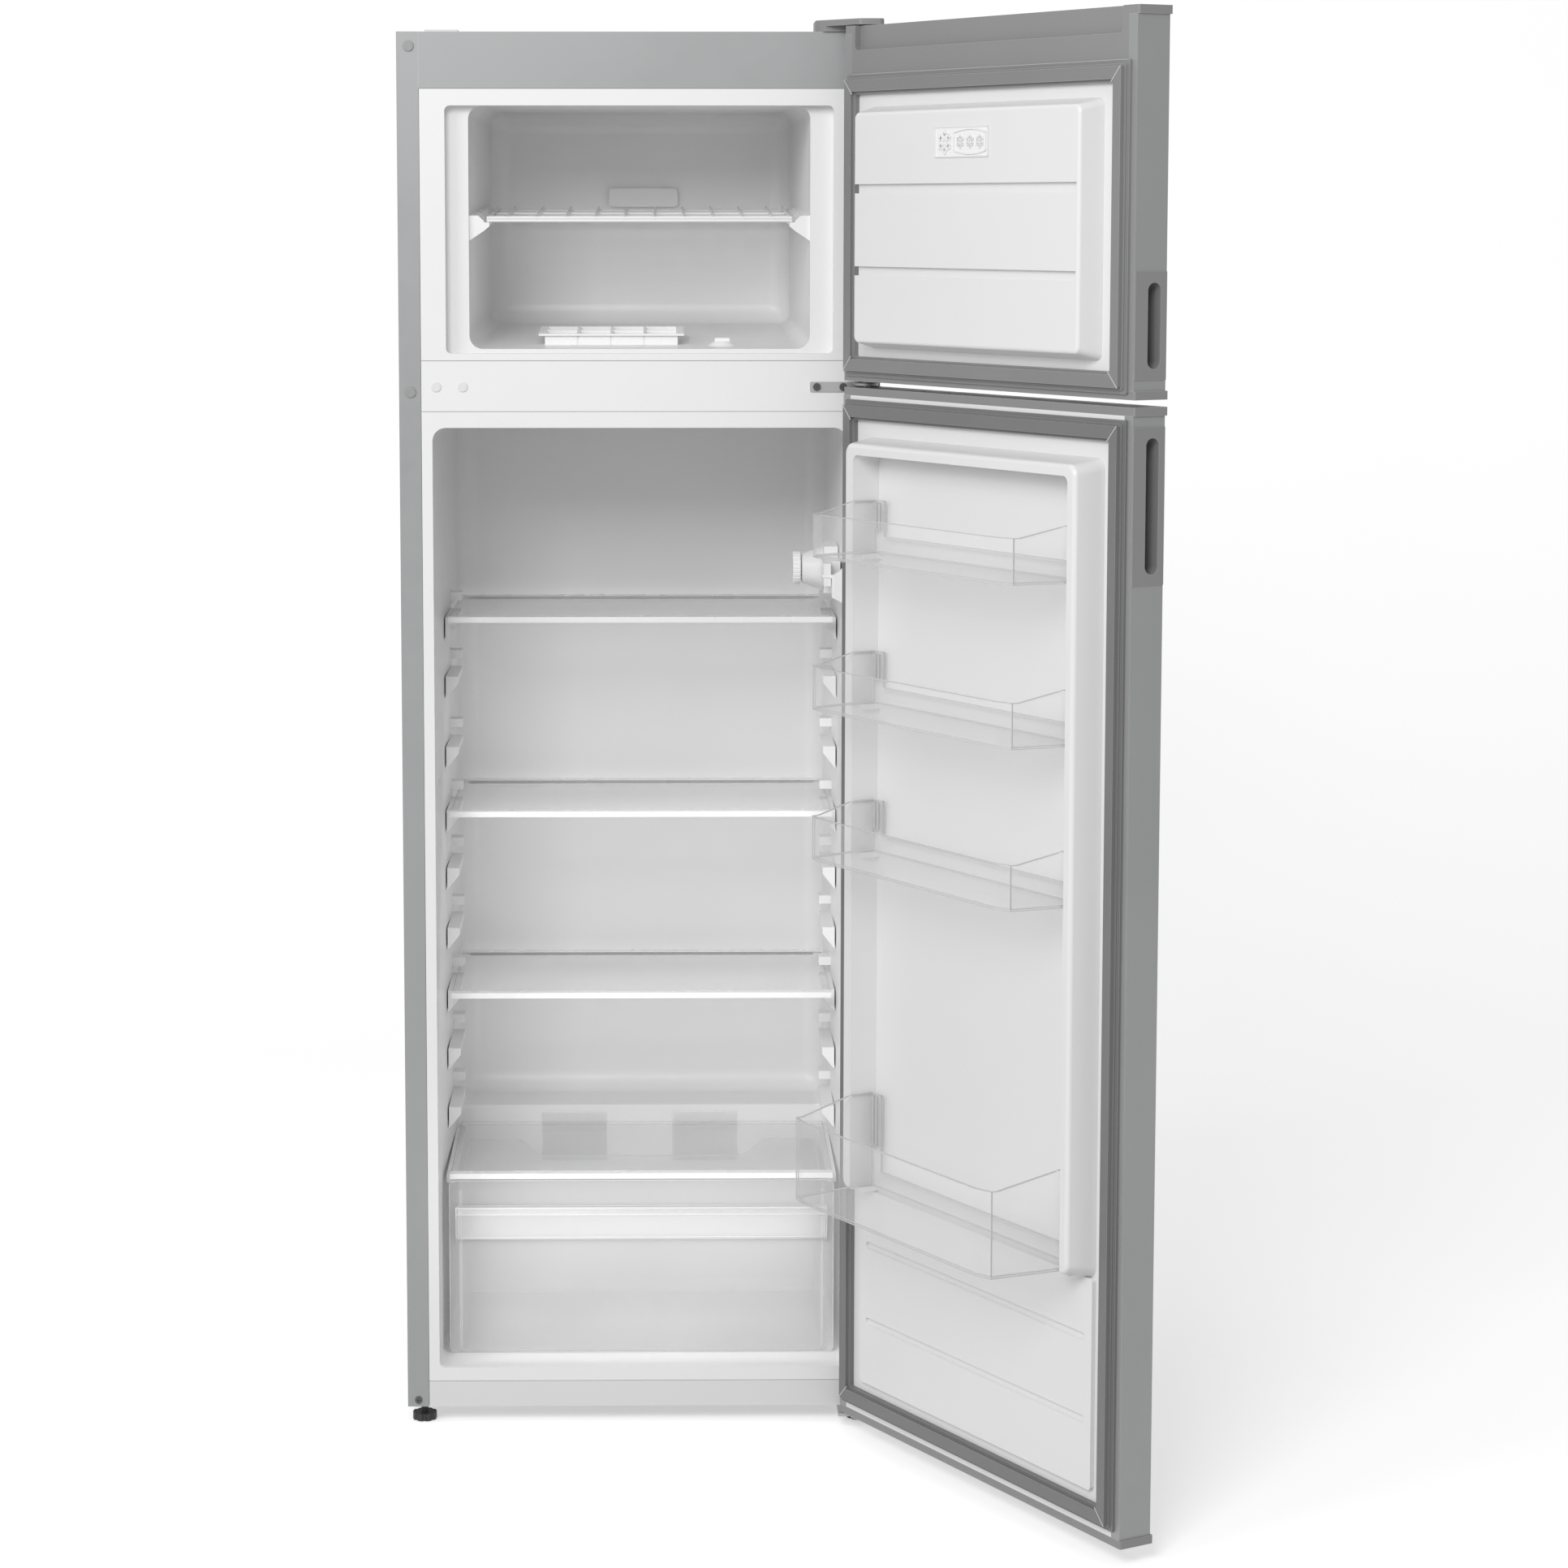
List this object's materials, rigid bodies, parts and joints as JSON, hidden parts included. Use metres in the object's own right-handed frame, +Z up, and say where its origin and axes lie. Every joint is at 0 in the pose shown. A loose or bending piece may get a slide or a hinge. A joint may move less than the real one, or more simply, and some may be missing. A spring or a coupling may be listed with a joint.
{
  "type": "top freezer refrigerator",
  "caption": "Free-standing top freezer refrigerator with open right-hinged doors, glass shelves, a clear drawer, clear door bins, and a compressor and condenser at the back.",
  "frame": {"origin": "on the floor, under the middle of the cabinet's front plane", "axes": "+Z up, the doors face -Y, +X to the right of someone who stands in front"},
  "size_m": [0.8002, 1.0113, 1.6026],
  "materials": {
    "painted_steel": "satin",
    "zinc_steel": "satin",
    "black_steel": "satin",
    "white_plastic": "satin",
    "grey_plastic": "satin",
    "black_plastic": "matte",
    "clear_plastic": "gloss",
    "glass": "polished",
    "white_wire": "satin",
    "gasket_rubber": "matte",
    "black_rubber": "matte",
    "foam": "matte"
  },
  "bodies": {
    "cabinet": {"cabinet_wrap": "painted_steel", "top_front_rail": "painted_steel", "freezer_liner": "white_plastic", "fridge_liner": "white_plastic", "middle_rail": "white_plastic", "kick_strip": "white_plastic", "base_plate": "zinc_steel", "back_panel": "painted_steel", "cabinet_foam": "foam", "blank_plugs": "white_plastic", "top_hinge": "zinc_steel", "top_hinge_cover": "grey_plastic", "middle_hinge": "zinc_steel", "bottom_hinge": "zinc_steel", "front_screws": "zinc_steel", "freezer_shelf_rails": "white_plastic", "drain_plug": "white_plastic", "crisper_cover_trim": "white_plastic", "crisper_cover_glass": "glass", "control_housing": "white_plastic", "lamp_lens": "clear_plastic", "compressor": "black_steel", "compressor_grommets": "black_rubber", "evaporation_tray": "black_plastic", "condenser": "black_steel", "condenser_spacers": "black_plastic", "cord_gland": "black_rubber"},
    "freezer_door": {"freezer_door_panel": "painted_steel", "freezer_door_grip": "grey_plastic", "freezer_door_top_cap": "grey_plastic", "freezer_door_bottom_cap": "grey_plastic", "freezer_door_foam": "foam", "freezer_door_gasket": "gasket_rubber", "freezer_door_liner": "white_plastic"},
    "fridge_door": {"fridge_door_panel": "painted_steel", "fridge_door_grip": "grey_plastic", "fridge_door_top_cap": "grey_plastic", "fridge_door_bottom_cap": "grey_plastic", "fridge_door_foam": "foam", "fridge_door_gasket": "gasket_rubber", "fridge_door_liner": "white_plastic"},
    "freezer_shelf": {"freezer_shelf": "white_wire"},
    "ice_tray": {"ice_tray": "white_plastic"},
    "glass_shelf_1": {"shelf_1_trim": "white_plastic", "shelf_1_glass": "glass"},
    "glass_shelf_2": {"shelf_2_trim": "white_plastic", "shelf_2_glass": "glass"},
    "glass_shelf_3": {"shelf_3_trim": "white_plastic", "shelf_3_glass": "glass"},
    "crisper_drawer": {"crisper_drawer": "clear_plastic"},
    "thermostat_dial": {"thermostat_dial": "white_plastic"},
    "light_switch": {"light_switch": "white_plastic"},
    "door_bin_1": {"door_bin_1": "clear_plastic"},
    "door_bin_2": {"door_bin_2": "clear_plastic"},
    "door_bin_3": {"door_bin_3": "clear_plastic"},
    "door_bin_4": {"door_bin_4": "clear_plastic"},
    "foot_left": {"foot_left": "black_plastic"},
    "foot_right": {"foot_right": "black_plastic"},
    "roller_left": {"roller_left": "black_plastic"},
    "roller_right": {"roller_right": "black_plastic"}
  },
  "joints": [
    {"name": "freezer_door_hinge", "type": "hinge", "parent": "cabinet", "child": "freezer_door", "pos_m": [0.253, -0.032, 1.4], "axis": [0, 0, 1], "range_deg": [-119.6, 15]},
    {"name": "fridge_door_hinge", "type": "hinge", "parent": "cabinet", "child": "fridge_door", "pos_m": [0.253, -0.032, 0.6], "axis": [0, 0, 1], "range_deg": [-119.6, 15]},
    {"name": "freezer_shelf_slide", "type": "slide", "parent": "cabinet", "child": "freezer_shelf", "axis": [0, -0.9993, -0.0384], "range_m": [0, 0.25]},
    {"name": "ice_tray_slide", "type": "slide", "parent": "cabinet", "child": "ice_tray", "axis": [0, -0.9986, -0.0521], "range_m": [0, 0.14]},
    {"name": "glass_shelf_1_slide", "type": "slide", "parent": "cabinet", "child": "glass_shelf_1", "axis": [0, -1, 0], "range_m": [0, 0.18]},
    {"name": "glass_shelf_2_slide", "type": "slide", "parent": "cabinet", "child": "glass_shelf_2", "axis": [0, -1, 0], "range_m": [0, 0.18]},
    {"name": "glass_shelf_3_slide", "type": "slide", "parent": "cabinet", "child": "glass_shelf_3", "axis": [0, -1, 0], "range_m": [0, 0.18]},
    {"name": "crisper_drawer_slide", "type": "slide", "parent": "cabinet", "child": "crisper_drawer", "axis": [0, -1, 0], "range_m": [0, 0.24]},
    {"name": "thermostat_dial_turn", "type": "hinge", "parent": "cabinet", "child": "thermostat_dial", "pos_m": [0.1775, 0.15, 0.978], "axis": [1, 0, 0], "range_deg": [0, 270]},
    {"name": "light_switch_press", "type": "hinge", "parent": "cabinet", "child": "light_switch", "pos_m": [0.2125, 0.038, 0.978], "axis": [-1, 0, 0], "range_deg": [-8, 0], "stiffness_Nm_per_rad": 0.02, "springref_deg": 2.86},
    {"name": "door_bin_1_lift", "type": "slide", "parent": "fridge_door", "child": "door_bin_1", "axis": [0, 0, 1], "range_m": [0, 0.04]},
    {"name": "door_bin_2_lift", "type": "slide", "parent": "fridge_door", "child": "door_bin_2", "axis": [0, 0, 1], "range_m": [0, 0.04]},
    {"name": "door_bin_3_lift", "type": "slide", "parent": "fridge_door", "child": "door_bin_3", "axis": [0, 0, 1], "range_m": [0, 0.04]},
    {"name": "door_bin_4_lift", "type": "slide", "parent": "fridge_door", "child": "door_bin_4", "axis": [0, 0, 1], "range_m": [0, 0.04]},
    {"name": "foot_left_screw", "type": "slide", "parent": "cabinet", "child": "foot_left", "axis": [0, 0, -1], "range_m": [0, 0.012]},
    {"name": "foot_right_screw", "type": "slide", "parent": "cabinet", "child": "foot_right", "axis": [0, 0, -1], "range_m": [0, 0.012]},
    {"name": "roller_left_spin", "type": "hinge", "parent": "cabinet", "child": "roller_left", "pos_m": [-0.232, 0.488, 0.012], "axis": [1, 0, 0], "continuous": true},
    {"name": "roller_right_spin", "type": "hinge", "parent": "cabinet", "child": "roller_right", "pos_m": [0.232, 0.488, 0.012], "axis": [1, 0, 0], "continuous": true}
  ]
}
